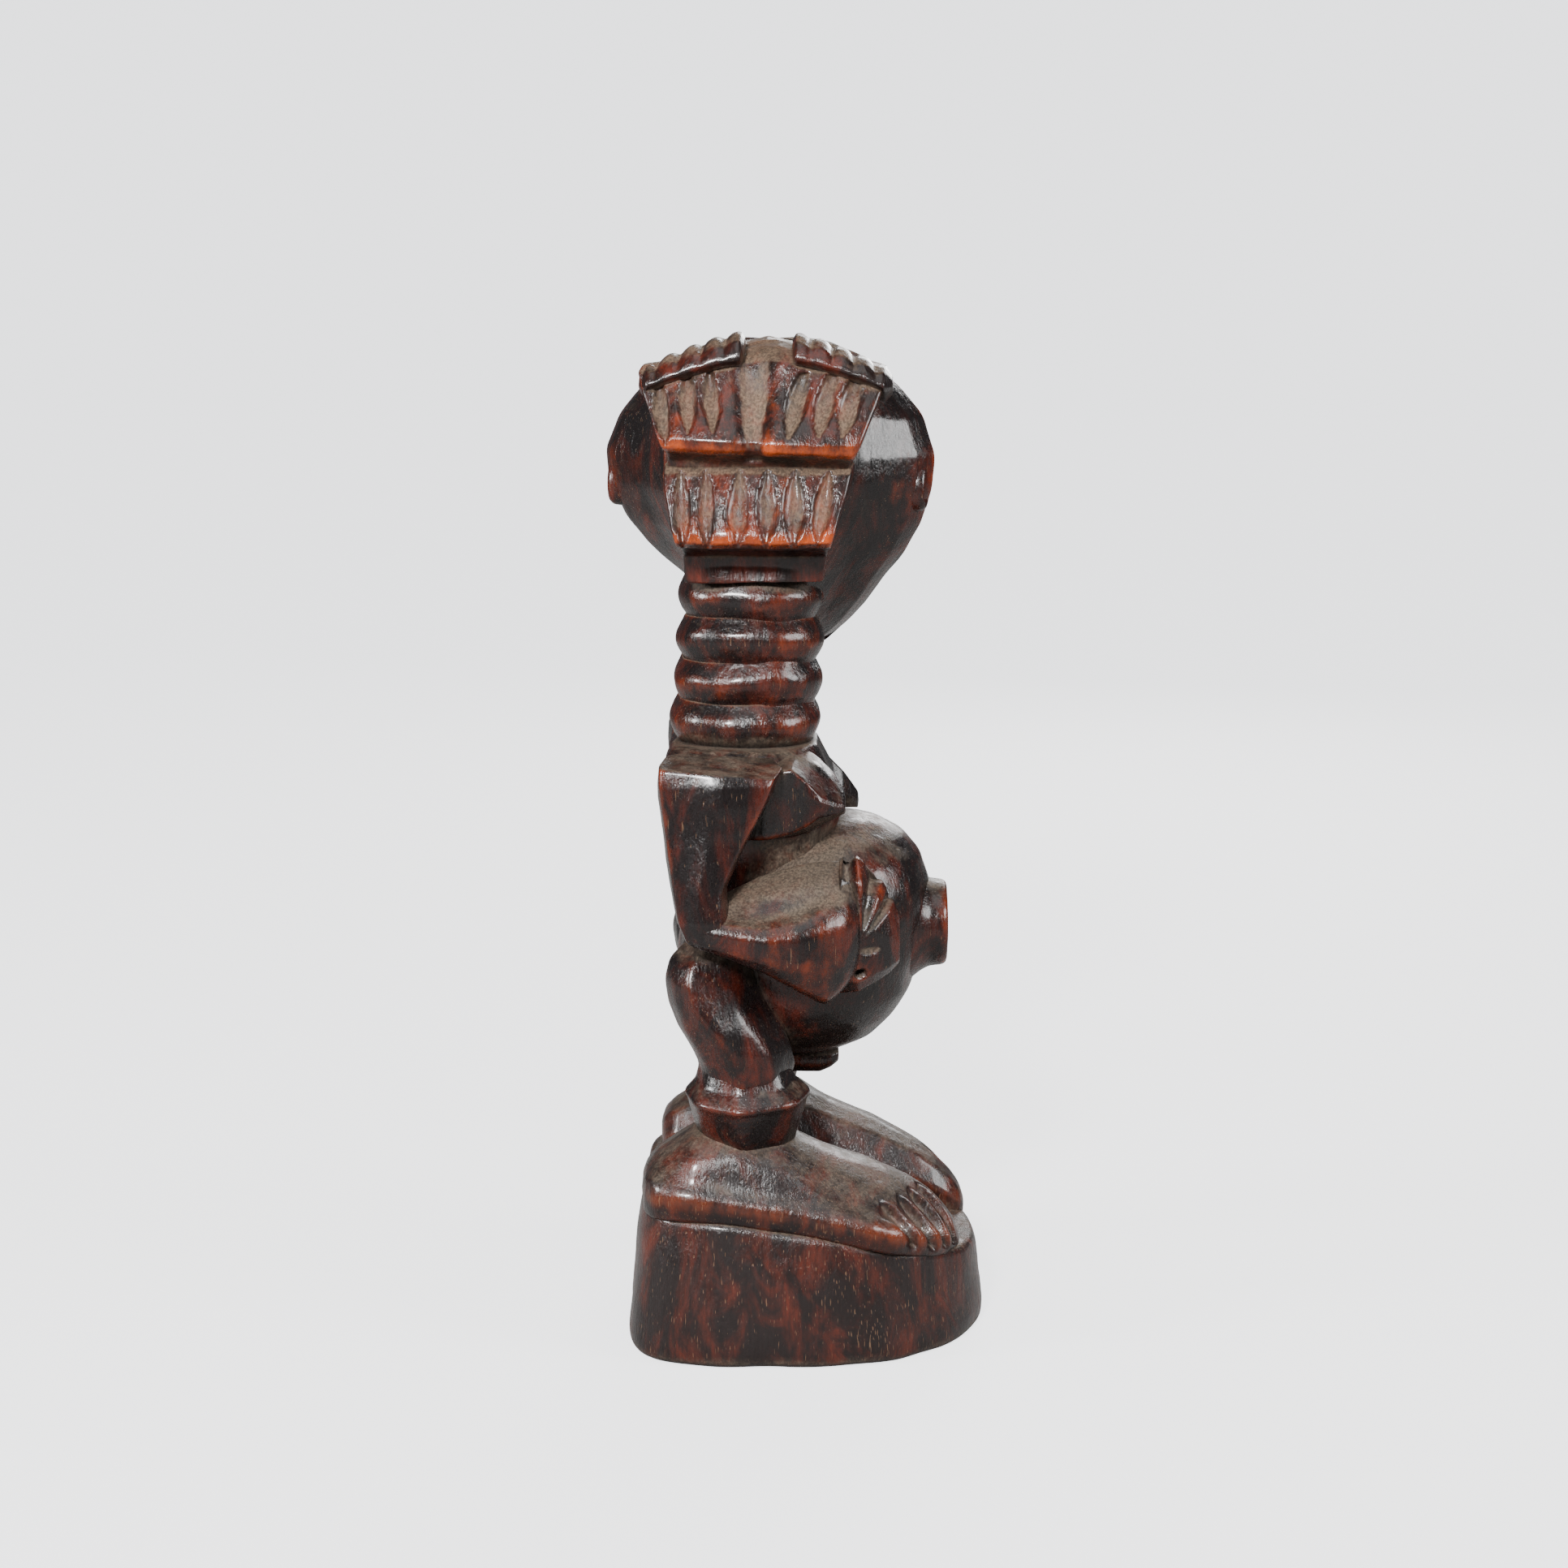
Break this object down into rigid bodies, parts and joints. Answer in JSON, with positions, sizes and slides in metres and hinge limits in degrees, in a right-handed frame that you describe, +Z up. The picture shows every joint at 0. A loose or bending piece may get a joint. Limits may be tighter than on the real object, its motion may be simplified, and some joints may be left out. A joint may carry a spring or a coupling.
{
  "type": "carved wooden ancestor figure",
  "caption": "Carved wooden standing figure on a sloping base, hands on a round belly, ringed neck, turned head with stepped notched hair; a display statuette",
  "frame": {"origin": "centre of the base's flat underside, midway between its back and its front and between its sides", "axes": "+Z up from the underside; +X the way the body and feet face; +Y the figure's left, which is the way the face looks"},
  "size_m": [0.0981, 0.092, 0.2482],
  "materials": {
    "body_wood": "dark oiled hardwood, waxed and worn at the edges, dusty in the recesses",
    "hair_wood": "red-brown hardwood, polished on the lips, dusty in the gouges",
    "base_wood": "dark brown hardwood, satin, open pores along the vertical grain"
  },
  "bodies": {
    "root": {"base": "base_wood", "right_foot": "base_wood", "left_foot": "base_wood", "right_lower_leg": "body_wood", "left_lower_leg": "body_wood", "right_thigh": "body_wood", "left_thigh": "body_wood", "hips": "body_wood", "loin_tab": "body_wood", "belly": "body_wood", "navel": "body_wood", "chest": "body_wood", "right_breast": "body_wood", "left_breast": "body_wood", "right_upper_arm": "body_wood", "left_upper_arm": "body_wood", "right_forearm": "body_wood", "left_forearm": "body_wood", "right_hand": "body_wood", "left_hand": "body_wood", "neck_ring_1": "body_wood", "neck_ring_2": "body_wood", "neck_ring_3": "body_wood", "neck_ring_4": "body_wood", "head": "body_wood", "right_ear": "body_wood", "left_ear": "body_wood", "lower_hair_tier": "hair_wood", "upper_hair_tier": "hair_wood", "right_crest": "hair_wood", "left_crest": "hair_wood"}
  },
  "joints": []
}
